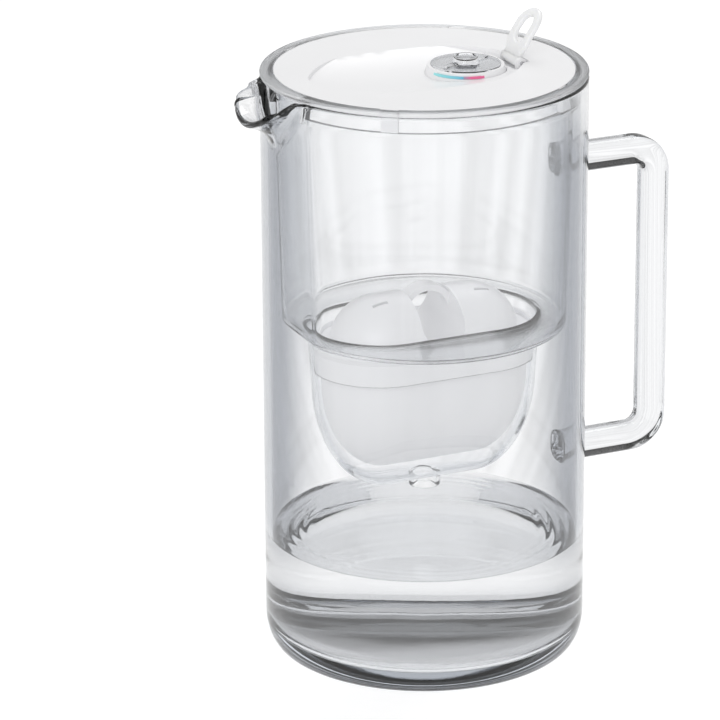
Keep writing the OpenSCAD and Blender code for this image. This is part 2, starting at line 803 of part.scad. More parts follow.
module upper_fleece() color([0.95, 0.95, 0.93])
    pad(cover_z - cup_wall - screen_t - fleece_t + seat_gap, cover_z - cup_wall - screen_t - 0.5, 0.3);

module inlet_screen() color([0.9, 0.91, 0.92])
    pad(cover_z - cup_wall - screen_t - 0.45, cover_z - cup_wall - 0.45, 0.3);

// ---- all pieces ----------------------------------------------------------------------------

glass_jug();
handle();
hopper();
lid();
dial_bezel();
fresh_arc();
change_arc();
dial_washer();
dial_knob();
dial_retainer();
pull_ring();
ring_pin();
cartridge_cup();
cartridge_cover();
cartridge_seal();
inlet_screen();
upper_fleece();
filter_granules();
lower_fleece();
outlet_screen();
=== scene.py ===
"""Looks of the water filter pitcher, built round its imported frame.

Metres, +Z up, handle towards +X, spout towards -X. Sizes written in millimetres are
multiplied by MM where a mesh is made.
"""

import math

import bmesh
import bpy
import numpy as np
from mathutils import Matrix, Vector


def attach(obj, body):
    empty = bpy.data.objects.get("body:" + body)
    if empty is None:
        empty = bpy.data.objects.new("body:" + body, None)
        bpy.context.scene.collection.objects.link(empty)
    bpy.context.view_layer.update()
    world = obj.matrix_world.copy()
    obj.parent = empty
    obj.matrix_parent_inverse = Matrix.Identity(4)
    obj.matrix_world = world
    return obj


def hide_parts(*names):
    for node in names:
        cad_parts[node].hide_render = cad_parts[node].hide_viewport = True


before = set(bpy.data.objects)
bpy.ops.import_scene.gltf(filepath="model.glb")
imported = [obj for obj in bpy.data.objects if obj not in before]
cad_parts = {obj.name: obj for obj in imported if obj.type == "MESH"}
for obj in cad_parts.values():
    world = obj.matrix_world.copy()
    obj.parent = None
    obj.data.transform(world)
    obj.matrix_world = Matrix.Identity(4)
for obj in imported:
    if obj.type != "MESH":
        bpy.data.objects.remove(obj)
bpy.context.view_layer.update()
scene = bpy.context.scene
MM = 0.001


# ---- camera, floor and light ----------------------------------------------------------------
# The camera stands 1.9 m away, 19.6 degrees above the middle of the jug, with a long lens. The
# floor is plain and light, under an even surround and two soft boxes. What glass sees of floor and
# room is set apart from what the camera sees: it gives the grey bands in the base and the water.

LOOK_AT = Vector((0, 0, 0.130))
CAM_AZ, CAM_EL, CAM_DIST = math.radians(-25.25), math.radians(19.62), 1.9237
toward = Vector((math.sin(CAM_AZ) * math.cos(CAM_EL), -math.cos(CAM_AZ) * math.cos(CAM_EL), math.sin(CAM_EL)))
PICTURE_PX, SHIFT_X_PX, SHIFT_Y_PX = 720, -64.34, -2.83
SENSOR_MM, LENS_MM, SIGHT = 36, 221.86, 50
lens = bpy.data.cameras.new("camera")
lens.sensor_width = SENSOR_MM
lens.lens = LENS_MM
lens.shift_x = SHIFT_X_PX / PICTURE_PX
lens.shift_y = SHIFT_Y_PX / PICTURE_PX
lens.clip_end = SIGHT
camera = bpy.data.objects.new("camera", lens)
camera.location = LOOK_AT + toward * CAM_DIST
camera.rotation_euler = (-toward).to_track_quat("-Z", "Y").to_euler()
scene.collection.objects.link(camera)
scene.camera = camera
scene.view_settings.view_transform = "Standard"
scene.cycles.max_bounces = 24
scene.cycles.transmission_bounces = 20
scene.cycles.transparent_max_bounces = 24


def new_material(name):
    """An empty node material with its output node, as (material, nodes, link function)."""
    mat = bpy.data.materials.new(name)
    mat.use_nodes = True
    tree = mat.node_tree
    tree.nodes.clear()
    out = tree.nodes.new("ShaderNodeOutputMaterial")
    return mat, tree.nodes, tree.links.new, out


def feed(link, socket, value):
    """Gives socket its value: a link where value is a socket, and a setting where it isn't."""
    if isinstance(value, bpy.types.NodeSocket):
        link(value, socket)
    else:
        socket.default_value = value


def math_node(nodes, link, operation, first, second):
    """The result of a Math node on two numbers or sockets."""
    node = nodes.new("ShaderNodeMath")
    node.operation = operation
    feed(link, node.inputs[0], first)
    feed(link, node.inputs[1], second)
    return node.outputs[0]


def map_range(nodes, link, value, start, end, low=0.0, high=1.0, smooth=False):
    """The result of a Map Range node that turns start to end into low to high."""
    node = nodes.new("ShaderNodeMapRange")
    if smooth:
        node.interpolation_type = "SMOOTHSTEP"
    for name, given in (("Value", value), ("From Min", start), ("From Max", end), ("To Min", low),
                        ("To Max", high)):
        feed(link, node.inputs[name], given)
    return node.outputs[0]


def mix_colors(nodes, link, amount, first, last):
    """The colour between first and last, each an RGB triple or a socket."""
    node = nodes.new("ShaderNodeMix")
    node.data_type = "RGBA"
    link(amount, node.inputs[0])
    for socket, color in ((node.inputs[6], first), (node.inputs[7], last)):
        feed(link, socket, (*color, 1) if isinstance(color, tuple) else color)
    return node.outputs[2]


def noise(nodes, link, vector, scale, detail):
    """The Fac of a Noise Texture."""
    node = nodes.new("ShaderNodeTexNoise")
    link(vector, node.inputs["Vector"])
    feed(link, node.inputs["Scale"], scale)
    node.inputs["Detail"].default_value = detail
    return node.outputs["Fac"]


def grey(value):
    """An RGB triple of one value."""
    return (value, value, value)


FLOOR_SEEN, FLOOR_CALM, PANEL_DARK, PANEL_LIGHT = 0.36, 0.38, 0.27, 0.47
FLOOR_WHITE, FLOOR_THROUGH_GLASS = 0.80, 0.62
PANEL_SCALE, CALM_FROM, CALM_TO = 24, 0.07, 0.30
floor_mat, nodes, link, out = new_material("floor_white")
paper = nodes.new("ShaderNodeBsdfPrincipled")
paper.inputs["Roughness"].default_value = 1
paper.inputs["Specular IOR Level"].default_value = 0
# the floor glows for rays from the camera, in a reflection or through glass, not for lighting rays
path = nodes.new("ShaderNodeLightPath")
seen = math_node(nodes, link, "MAXIMUM", path.outputs["Is Camera Ray"], path.outputs["Is Glossy Ray"])
seen = math_node(nodes, link, "MAXIMUM", seen, path.outputs["Is Transmission Ray"])
link(seen, paper.inputs["Emission Strength"])

# in glass and in reflections it has faint panels, spread like a fan round the jug
where = nodes.new("ShaderNodeTexCoord")
fan, reach = nodes.new("ShaderNodeVectorMath"), nodes.new("ShaderNodeVectorMath")
fan.operation, reach.operation = "NORMALIZE", "LENGTH"
link(where.outputs["Object"], fan.inputs[0])
link(where.outputs["Object"], reach.inputs[0])
panels = noise(nodes, link, fan.outputs[0], PANEL_SCALE, 1.5)
panels = map_range(nodes, link, panels, 0.36, 0.64, PANEL_DARK, PANEL_LIGHT)
# the panels fade out under the jug, where they would meet in a star
near = map_range(nodes, link, reach.outputs["Value"], CALM_FROM, CALM_TO, smooth=True)
panels = mix_colors(nodes, link, near, grey(FLOOR_CALM), panels)
glow = mix_colors(nodes, link, path.outputs["Is Camera Ray"], panels, grey(FLOOR_SEEN))
link(glow, paper.inputs["Emission Color"])
shade = mix_colors(nodes, link, path.outputs["Is Transmission Ray"], grey(FLOOR_WHITE),
                   grey(FLOOR_THROUGH_GLASS))
link(shade, paper.inputs["Base Color"])
link(paper.outputs[0], out.inputs["Surface"])
FLOOR, FLOOR_Z = 20, -0.0004
floor_mesh = bpy.data.meshes.new("floor")
floor_mesh.from_pydata([(-FLOOR, -FLOOR, FLOOR_Z), (FLOOR, -FLOOR, FLOOR_Z), (FLOOR, FLOOR, FLOOR_Z),
                        (-FLOOR, FLOOR, FLOOR_Z)], [], [(0, 1, 2, 3)])
floor_mesh.materials.append(floor_mat)
floor = bpy.data.objects.new("floor", floor_mesh)
scene.collection.objects.link(floor)

# what is seen through glass is dark up to a height and bright above it; the rest sees an even white
SKY, ROOM_DARK, DARK_UP_TO, BRIGHT_FROM = 0.70, 0.03, 0.36, 0.48
world = bpy.data.worlds.new("studio")
scene.world = world
world.use_nodes = True
nodes, link = world.node_tree.nodes, world.node_tree.links.new
nodes.clear()
where, height = nodes.new("ShaderNodeTexCoord"), nodes.new("ShaderNodeSeparateXYZ")
link(where.outputs["Generated"], height.inputs[0])
room = map_range(nodes, link, height.outputs["Z"], DARK_UP_TO, BRIGHT_FROM, ROOM_DARK, smooth=True)
path = nodes.new("ShaderNodeLightPath")
sky = nodes.new("ShaderNodeBackground")
sky.inputs["Strength"].default_value = SKY
link(mix_colors(nodes, link, path.outputs["Is Transmission Ray"], grey(1), room), sky.inputs["Color"])
link(sky.outputs[0], nodes.new("ShaderNodeOutputWorld").inputs["Surface"])


def soft_box(name, place, aim, width, height, watts):
    """A rectangular area lamp at place, turned towards aim. It doesn't show through glass."""
    lamp = bpy.data.lights.new(name, "AREA")
    lamp.shape = "RECTANGLE"
    lamp.size, lamp.size_y = width, height
    lamp.energy = watts
    box = bpy.data.objects.new(name, lamp)
    box.location = place
    box.rotation_euler = (Vector(aim) - Vector(place)).to_track_quat("-Z", "Y").to_euler()
    box.visible_transmission = False
    scene.collection.objects.link(box)


soft_box("key", (0.5, 0.6, 1.3), (0, 0, 0.15), 0.7, 0.7, 4.5)
soft_box("fill", (-1.0, -1.2, 0.9), (0, 0, 0.15), 0.9, 1.2, 7)


# ---- glass jug ------------------------------------------------------------------------------
# A blown and pressed glass body with a heavy base. The spout is pulled from the hot wall, so it
# runs into the wall without an edge, and the rim is melted round.

def shell(grid, poles=(True, True)):
    """Closed quad shell over grid[row, column]; columns close on themselves, and a pole at either
    end is the middle of that row. Faces are turned so that the enclosed volume is positive."""
    rows, cols = grid.shape[:2]
    points = grid.reshape(-1, 3)
    i, j = np.meshgrid(np.arange(rows - 1), np.arange(cols), indexing="ij")
    k = (j + 1) % cols
    quads = np.stack([i * cols + j, i * cols + k, (i + 1) * cols + k, (i + 1) * cols + j], -1).reshape(-1, 4)
    c = np.arange(cols)
    fans = []
    for row, on in zip((0, rows - 1), poles):
        if on:
            tip = len(points)
            points = np.vstack([points, grid[row].mean(0)])
            a, b = (c + 1) % cols, c
            if row:
                a, b = b, a
            fans.append(np.stack([row * cols + a, row * cols + b, np.full(cols, tip)], -1))
    tris = np.vstack(fans) if fans else np.zeros((0, 3), int)
    everything = np.vstack([quads[:, [0, 1, 2]], quads[:, [0, 2, 3]], tris])
    p = points[everything]
    if np.einsum("ij,ij->i", p[:, 0], np.cross(p[:, 1], p[:, 2])).sum() < 0:
        quads, tris = quads[:, ::-1], tris[:, ::-1]
    return points, quads, tris


def torus_shell(grid):
    """A closed shell over grid[row, column] whose rows and columns both close on themselves."""
    closed = np.vstack([grid, grid[:1]])
    points, quads, tris = shell(closed, (False, False))
    rows, cols = grid.shape[:2]
    return points[: rows * cols], quads % (rows * cols), tris


def piece(name, shells, body, node=None, material=None, sharp=40):
    """A mesh object in metres from shells in millimetres, smooth but for edges over sharp degrees.
    It rides on body, stands for node and takes its finish from material."""
    verts, faces, base = [], [], 0
    for points, quads, tris in shells:
        verts.append(points * MM)
        faces += (quads + base).tolist() + (tris + base).tolist()
        base += len(points)
    mesh = bpy.data.meshes.new(name)
    mesh.from_pydata(np.vstack(verts).tolist(), [], faces)
    mesh.shade_smooth()
    mesh.set_sharp_from_angle(angle=math.radians(sharp))
    obj = bpy.data.objects.new(name, mesh)
    scene.collection.objects.link(obj)
    if material:
        mesh.materials.append(material)
    if body:
        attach(obj, body)
    if node:
        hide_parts(node)
    return obj


def soft_min(a, b, k):
    """The smaller of a and b, rounded over a width k where they are near each other."""
    h = np.maximum(k - np.abs(a - b), 0) / k
    return np.minimum(a, b) - h * h * k / 4


JUG_R, WALL, RIM_Z = 70.0, 3.2, 258.2
BASE_T, FOOT_W, FOOT_H, FLOOR_ROUND = 9.0, 7.5, 14.5, 9.0
SPOUT_REACH, SPOUT_DEPTH, LIP_DROP, CHANNEL = 14.2, 18.6, 13.0, math.radians(47)
CONE_INSET, SPOUT_WALL = 4.0, 2.8
PUNT, RIM_SOFT, PLAIN_TO = 0.9, 1.35, 230.0
SPOUT_SLOPE = math.atan((SPOUT_DEPTH - LIP_DROP) / SPOUT_REACH)
CONE_X = -JUG_R + CONE_INSET
CONE_Z = RIM_Z - SPOUT_DEPTH - CONE_INSET * math.tan(SPOUT_SLOPE)
LIP_RUN = SPOUT_REACH + CONE_INSET
LIP_R = (LIP_RUN ** 2 + LIP_DROP ** 2) / (2 * LIP_DROP)


def spout_radius(phi, z, wall_r, inset, soft=8.0):
    """Distance from the jug's axis to its surface at angle phi from the spout and height z: where
    the signed distances to the cylinder and to the leaning cone, joined by soft_min, are zero. The
    root is found by halving an interval 40 times."""
    lean = math.pi / 2 - SPOUT_SLOPE - CHANNEL
    shift = inset / math.sin(CHANNEL)
    apex_x, apex_z = CONE_X - math.sin(lean) * shift, CONE_Z + math.cos(lean) * shift
    low, high = np.full(phi.shape, 60.0), np.full(phi.shape, 110.0)
    for _ in range(40):
        rho = (low + high) / 2
        dx, dy, dz = -rho * np.cos(phi) - apex_x, rho * np.sin(phi), z - apex_z
        axial = -math.sin(lean) * dx + math.cos(lean) * dz
        radial = np.sqrt(np.maximum(dx * dx + dy * dy + dz * dz - axial * axial, 0))
        cone = radial * math.cos(CHANNEL) - axial * math.sin(CHANNEL)
        inside = soft_min(rho - wall_r, cone, soft) < 0
        low, high = np.where(inside, rho, low), np.where(inside, high, rho)
    return (low + high) / 2


def lip_height(x):
    """Level at the rim, then falling along a circle of radius LIP_R towards the tip."""
    run = np.clip(CONE_X - x, 0, LIP_R * 0.999)
    return RIM_Z - LIP_R + np.sqrt(LIP_R ** 2 - run ** 2)


def smooth_steps(n):
    """n + 1 values from 0 to 1, closest together at both ends."""
    return (1 - np.cos(np.linspace(0, math.pi, n + 1))) / 2


def jug_grid():
    """Rows run from the middle of the underside over the foot, wall, rim and inner wall to the
    middle of the inner floor; columns run round the axis, closest together at the spout."""
    dense = np.radians(np.arange(-26, 26, 0.25))
    phi = np.concatenate([dense, np.radians(np.arange(26, 334, 1.5))])[None, :]
    rows = []

    def add(rho, z):
        shape = np.broadcast(rho, z, phi).shape
        rho, z, p = (np.broadcast_to(v, shape) for v in (rho, z, phi))
        rows.append(np.stack([-rho * np.cos(p), -rho * np.sin(p), z], -1))

    foot_r = JUG_R - FOOT_W
    # underside, with a shallow punt
    t = np.linspace(0.02, 1, 14)[:, None]
    add(foot_r * t, PUNT * (1 - t ** 2) ** 2)
    t = np.radians(np.linspace(-90, 0, 15))[1:, None]
    add(foot_r + FOOT_W * np.cos(t), FOOT_H + FOOT_H * np.sin(t))
    t = np.linspace(0, 1, 10)[1:-1, None]
    add(np.full((1, 1), JUG_R), FOOT_H + (PLAIN_TO - FOOT_H) * t)

    def top_edge(wall_r, inset):
        """Where the surface meets the lip, by halving, and its upward direction there."""
        low, high = np.full(phi.shape, 236.0), np.full(phi.shape, RIM_Z + 0.01)
        for _ in range(30):
            z = (low + high) / 2
            under = z < lip_height(-spout_radius(phi, z, wall_r, inset) * np.cos(phi))
            low, high = np.where(under, z, low), np.where(under, high, z)
        rise = (spout_radius(phi, low, wall_r, inset) - spout_radius(phi, low - 0.4, wall_r, inset)) / 0.4
        length = np.hypot(rise, 1)
        return low - RIM_SOFT / length, rise / length, 1 / length

    (z_o, dr_o, dz_o), (z_i, dr_i, dz_i) = top_edge(JUG_R, 0.0), top_edge(JUG_R - WALL, SPOUT_WALL)
    u = np.linspace(0, 1, 45)[:, None]
    z = PLAIN_TO + (z_o - PLAIN_TO) * u
    add(spout_radius(np.broadcast_to(phi, z.shape), z, JUG_R, 0.0), z)
    # melted rim: half an ellipse from the outer to the inner surface, standing along both
    r_o = spout_radius(phi, z_o, JUG_R, 0.0)
    r_i = spout_radius(phi, z_i, JUG_R - WALL, SPOUT_WALL)
    t = np.radians(np.linspace(0, 180, 13))[1:-1, None]
    across = (1 - np.cos(t)) / 2
    lift = RIM_SOFT * np.sin(t)
    add(r_o + (r_i - r_o) * across + lift * (dr_o + (dr_i - dr_o) * across),
        z_o + (z_i - z_o) * across + lift * (dz_o + (dz_i - dz_o) * across))
    z = PLAIN_TO + (z_i - PLAIN_TO) * u[::-1]
    add(spout_radius(np.broadcast_to(phi, z.shape), z, JUG_R - WALL, SPOUT_WALL), z)
    mouth_r = JUG_R - WALL
    t = np.linspace(1, 0, 10)[1:-1, None]
    fillet_z = BASE_T + FLOOR_ROUND
    add(np.full((1, 1), mouth_r), fillet_z + (PLAIN_TO - fillet_z) * t)
    t = np.radians(np.linspace(0, -90, 15))[:, None]
    add(mouth_r - FLOOR_ROUND + FLOOR_ROUND * np.cos(t), fillet_z + FLOOR_ROUND * np.sin(t))
    t = np.linspace(1, 0.02, 14)[1:, None]
    add((mouth_r - FLOOR_ROUND) * t, BASE_T + 0 * t)
    return np.vstack(rows)


def new_group(name, inputs, output):
    """An empty node group that takes the numbers in inputs and a Vector, and gives the one number
    called output, as (group, nodes, link function, input sockets, output socket)."""
    group = bpy.data.node_groups.new(name, "ShaderNodeTree")
    face = group.interface
    for label, value in inputs:
        face.new_socket(name=label, in_out="INPUT", socket_type="NodeSocketFloat").default_value = value
    face.new_socket(name="Vector", in_out="INPUT", socket_type="NodeSocketVector")
    face.new_socket(name=output, in_out="OUTPUT", socket_type="NodeSocketFloat")
    gin, gout = group.nodes.new("NodeGroupInput"), group.nodes.new("NodeGroupOutput")
    return group, group.nodes, group.links.new, gin.outputs, gout.inputs[output]


def haze_group():
    """Node group Handling haze: a roughness that varies softly between Clean and Smudged, from
    noise of the given Scale."""
    group, n, l, given, result = new_group(
        "Handling haze", (("Clean", 0.0), ("Smudged", 0.05), ("Scale", 20.0)), "Roughness")
    cloud = noise(n, l, given["Vector"], given["Scale"], 3)
    l(map_range(n, l, cloud, 0.45, 0.75, given["Clean"], given["Smudged"]), result)
    return group


def wave_group():
    """Node group Moulded waviness: a height that rises and falls softly over the surface, as in
    pressed glass and moulded plastic, plus a fine grain."""
    group, n, l, given, result = new_group(
        "Moulded waviness", (("Wave scale", 15.0), ("Grain scale", 900.0), ("Grain share", 0.1)), "Height")
    share = n.new("ShaderNodeMix")
    share.data_type = "FLOAT"
    l(given["Grain share"], share.inputs[0])
    l(noise(n, l, given["Vector"], given["Wave scale"], 1), share.inputs[2])
    l(noise(n, l, given["Vector"], given["Grain scale"], 2), share.inputs[3])
    l(share.outputs[0], result)
    return group


def zone_group():
    """Node group Painted edge shade zones: how much of the painted edge shade shows. It is full on the
    tall wall, weak where water or the thick base stands behind the wall, at the rim, and on the handle."""
    group, n, l, given, result = new_group("Painted edge shade zones", (), "Share")
    part = n.new("ShaderNodeSeparateXYZ")
    l(given["Vector"], part.inputs[0])
    base = map_range(n, l, part.outputs["Z"], 0.040, 0.062, 0.30, 1.0, True)
    rim = map_range(n, l, part.outputs["Z"], 0.228, 0.252, 1.0, 0.35, True)
    rod = map_range(n, l, part.outputs["X"], 0.0705, 0.0735, 1.0, 0.45, True)
    l(math_node(n, l, "MULTIPLY", math_node(n, l, "MULTIPLY", base, rim), rod), result)
    return group


def satin_group():
    """Node group Satin zones: the roughness left by the mould on the flange's ring and on the flat
    floor of the bowl, and 0 elsewhere."""
    group, n, l, given, result = new_group("Satin zones", (), "Roughness")
    part, flat, span = (n.new(kind) for kind in ("ShaderNodeSeparateXYZ", "ShaderNodeVectorMath",
                                                 "ShaderNodeVectorMath"))
    l(given["Vector"], part.inputs[0])
    flat.operation, span.operation = "MULTIPLY", "LENGTH"
    flat.inputs[1].default_value = (1, 1, 0)
    l(given["Vector"], flat.inputs[0])
    l(flat.outputs[0], span.inputs[0])

    def between(source, low, high, fade):
        """1 where source lies between low and high, falling to 0 within fade on both sides."""
        return math_node(n, l, "MULTIPLY", map_range(n, l, source, low - fade, low),
                         map_range(n, l, source, high + fade, high))

    radius, height = span.outputs["Value"], part.outputs["Z"]
    ring = math_node(n, l, "MULTIPLY", between(radius, 0.0635, 0.08, 0.001),
                     between(height, 0.2580, 0.27, 0.0006))
    ring = math_node(n, l, "MULTIPLY", ring, 0.34)
    tray = math_node(n, l, "MULTIPLY", between(height, 0.1475, 0.1508, 0.0008), 0.12)
    l(math_node(n, l, "MAXIMUM", ring, tray), result)
    return group


# the third group sets where the clear materials' painted edge shade shows
HAZE, WAVES, EDGE_SHADE_ZONES, SATIN = haze_group(), wave_group(), zone_group(), satin_group()


def surface_nodes(nodes, link, shader, clean, smudged, haze_scale, wave_scale, grain_scale, grain,
                  strength, distance):
    """Feeds shader's roughness from Handling haze and its normal from Moulded waviness."""
    where = nodes.new("ShaderNodeTexCoord")
    haze, waves = nodes.new("ShaderNodeGroup"), nodes.new("ShaderNodeGroup")
    haze.node_tree, waves.node_tree = HAZE, WAVES
    for group, name, value in ((haze, "Clean", clean), (haze, "Smudged", smudged), (haze, "Scale", haze_scale),
                               (waves, "Wave scale", wave_scale), (waves, "Grain scale", grain_scale),
                               (waves, "Grain share", grain)):
        group.inputs[name].default_value = value
    for group in (haze, waves):
        link(where.outputs["Object"], group.inputs["Vector"])
    link(haze.outputs["Roughness"], shader.inputs["Roughness"])
    bump = nodes.new("ShaderNodeBump")
    bump.inputs["Strength"].default_value = strength
    bump.inputs["Distance"].default_value = distance
    link(waves.outputs["Height"], bump.inputs["Height"])
    link(bump.outputs[0], shader.inputs["Normal"])


def clear_material(name, face_on, edge_shade, start, end, ior, density, absorb, smudged, strength, wave_scale=14,
                   zoned=False, satin=False):
    """Clear stuff with a painted edge shade: its colour darkens to edge_shade where it is seen edge on.
    It also darkens by its thickness. Light for what is behind it goes straight through."""
    mat, nodes, link, out = new_material(name)
    glass = nodes.new("ShaderNodeBsdfPrincipled")
    glass.inputs["Transmission Weight"].default_value = 1
    glass.inputs["IOR"].default_value = ior
    # Layer Weight facing darkens the Base Color: painted shade where the surface is seen edge on
    facing = nodes.new("ShaderNodeLayerWeight")
    facing.inputs["Blend"].default_value = 0.5
    amount = map_range(nodes, link, facing.outputs["Facing"], start, end, smooth=True)
    where = nodes.new("ShaderNodeTexCoord").outputs["Object"]
    if zoned:
        zones = nodes.new("ShaderNodeGroup")
        zones.node_tree = EDGE_SHADE_ZONES
        link(where, zones.inputs["Vector"])
        amount = math_node(nodes, link, "MULTIPLY", amount, zones.outputs["Share"])
    # the Base Color runs from face_on to the painted edge shade
    link(mix_colors(nodes, link, amount, face_on, edge_shade), glass.inputs["Base Color"])
    surface_nodes(nodes, link, glass, 0.0, smudged, 18, wave_scale, 400, 0.02, strength, 0.001)
    if satin:
        worn = nodes.new("ShaderNodeGroup")
        worn.node_tree = SATIN
        link(where, worn.inputs["Vector"])
        hazy = glass.inputs["Roughness"].links[0].from_socket
        link(math_node(nodes, link, "MAXIMUM", hazy, worn.outputs["Roughness"]), glass.inputs["Roughness"])
    path = nodes.new("ShaderNodeLightPath")
    through = nodes.new("ShaderNodeBsdfTransparent")
    through.inputs["Color"].default_value = (*[c ** 0.5 for c in face_on], 1)
    shader = glass.outputs[0]
    for ray in ("Is Diffuse Ray", "Is Shadow Ray"):
        mix = nodes.new("ShaderNodeMixShader")
        link(path.outputs[ray], mix.inputs[0])
        link(shader, mix.inputs[1])
        link(through.outputs[0], mix.inputs[2])
        shader = mix.outputs[0]
    link(shader, out.inputs["Surface"])
    if density:
        fill = nodes.new("ShaderNodeVolumeAbsorption")
        fill.inputs["Color"].default_value = (*absorb, 1)
        fill.inputs["Density"].default_value = density
        link(fill.outputs[0], out.inputs["Volume"])
    return mat


# the second colour is a painted grey shade where the glass is seen edge on
clear_glass = clear_material("clear_glass", (0.985, 0.987, 0.99), (0.30, 0.32, 0.36), 0.20, 0.68, 1.5, 10,
                             (0.80, 0.84, 0.90), 0.02, 0.06, zoned=True)
piece("glass_body", [shell(jug_grid())], "jug", "glass_jug", clear_glass, 60)


# ---- handle ---------------------------------------------------------------------------------
# A rod of square glass with rounded edges, bent hot at two elbows and fused to the body, so its
# ends show through the wall.

ROD, ROD_ROUND, GRIP_X, ELBOW_R = 12.6, 4.2, 110.8, 10.7
ARM_HIGH, ARM_LOW, FUSED_R = 211.4, 78.2, 67.4
SWELL, SWELL_REACH, CAP_STEP = 0.10, 1.6, 0.3


def rounded_square(half, r, n=9):
    """Points of a square of half width half with corners of radius r, going round once."""
    t = np.radians(np.linspace(0, 90, n))
    turns = np.radians([0, 90, 180, 270])[:, None]
    a = (turns + t).ravel()
    cx = np.repeat([1, -1, -1, 1], n) * (half - r)
    cy = np.repeat([1, 1, -1, -1], n) * (half - r)
    return np.stack([cx + r * np.cos(a), cy + r * np.sin(a)], -1)


def handle_grid():
    """The section is carried along the arm, elbow, grip, elbow and arm; at the wall it swells by a
    tenth, and each end is closed on the jug's own curve."""
    arm_x = GRIP_X - ELBOW_R
    x = np.concatenate([[FUSED_R], np.linspace(69.5, 78, 18), np.linspace(80, arm_x, 6)])
    t = np.radians(np.linspace(0, 90, 20))[1:]
    top = np.stack([x, np.full_like(x, ARM_HIGH), np.zeros_like(x)], -1)
    bend = np.stack([arm_x + ELBOW_R * np.sin(t), ARM_HIGH - ELBOW_R + ELBOW_R * np.cos(t), t], -1)
    half = np.vstack([top, bend])
    other = half[::-1] * [1, -1, -1] + [0, ARM_HIGH + ARM_LOW, math.pi]
    path = np.vstack([half, other])
    section = rounded_square(ROD / 2, ROD_ROUND)
    swell = 1 + SWELL * np.exp(-np.maximum(path[:, 0] - JUG_R, 0) / SWELL_REACH)
    a = section[None, :, 0] * swell[:, None]
    b = section[None, :, 1] * swell[:, None]
    turn = path[:, 2, None]
    grid = np.stack([path[:, 0, None] + a * np.sin(turn), np.broadcast_to(b, a.shape),
                     path[:, 1, None] + a * np.cos(turn)], -1)
    caps = []
    for row in (grid[0], grid[-1]):
        mid = row.mean(0)
        rings = []
        for share, back in ((0.97, 0.0), (0.9, -0.25), (0.7, -0.4), (0.4, -0.45), (0.1, -0.45)):
            ring = mid + (row - mid) * share
            ring[:, 0] = np.sqrt(FUSED_R ** 2 - ring[:, 1] ** 2) + back
            rings.append(ring)
        caps.append(np.array(rings))
    grid[0, :, 0] = np.sqrt(FUSED_R ** 2 - grid[0, :, 1] ** 2) + CAP_STEP
    grid[-1, :, 0] = np.sqrt(FUSED_R ** 2 - grid[-1, :, 1] ** 2) + CAP_STEP
    return np.vstack([caps[0][::-1], grid, caps[1]])


piece("handle_rod", [shell(handle_grid())], "jug", "handle", clear_glass, 60)


# ---- hopper ---------------------------------------------------------------------------------
# One clear moulding that hangs in the jug's mouth: flange, collar, bowl with a pouring flat and a
# well for the cartridge. Four notches in the flange take the lid's legs.

END_X, MOUTH_W, WAIST_W, WAIST_Z, WELL_Z = 21.0, 31.6, 29.6, 122.0, 76.0
BOWL_Z, COLLAR_Z, SEAT_Z, COLLAR_IN, COLLAR_OUT = 148.0, 248.6, 250.6, 64.3, 66.4
FLANGE_Z, FLANGE_TOP, WELL_WALL, LEDGE_Z, NOZZLE_R, NOZZLE_Z = 258.25, 260.4, 1.6, 130.0, 6.9, 72.0
BOWL_R, BOWL_TAPER, FLAT_X, FLAT_TAPER, FLAT_SOFT = 63.6, 2.2, 61.8, 3.2, 1.2
WINDOW_HALF, WEB_HALF, NOTCH_AT, NOTCH_HALF, NOTCH_DEEP = 17.0, 19.0, 52, 3.4, 0.9


def well_columns():
    """Where each column stands on the well's stadium: the end it is centred on and its direction.
    On the round ends they lie 2 degrees apart about the jug's axis, with pairs at the edges of the
    collar's window and notches; on the straight sides they are spaced evenly."""
    edges = np.array([14.85, 16.6, 48.6, 55.4])
    a = np.unique(np.concatenate([np.arange(0, 56.1, 2.0), edges - 0.12, edges + 0.12]))
    a = np.radians(np.concatenate([-a[:0:-1], a]))
    rho = END_X * np.cos(a) + np.sqrt(MOUTH_W ** 2 - (END_X * np.sin(a)) ** 2)
    alpha = np.arctan2(rho * np.sin(a), rho * np.cos(a) - END_X)
    side = np.linspace(END_X, -END_X, 28)[1:-1]
    one = np.ones(len(alpha))
    mid = np.concatenate([END_X * one, side, -END_X * one, -side])
    ux = np.concatenate([np.cos(alpha), 0 * side, -np.cos(alpha), 0 * side])
    uy = np.concatenate([np.sin(alpha), 0 * side + 1, np.sin(alpha[::-1]), 0 * side - 1])
    return mid, ux, uy


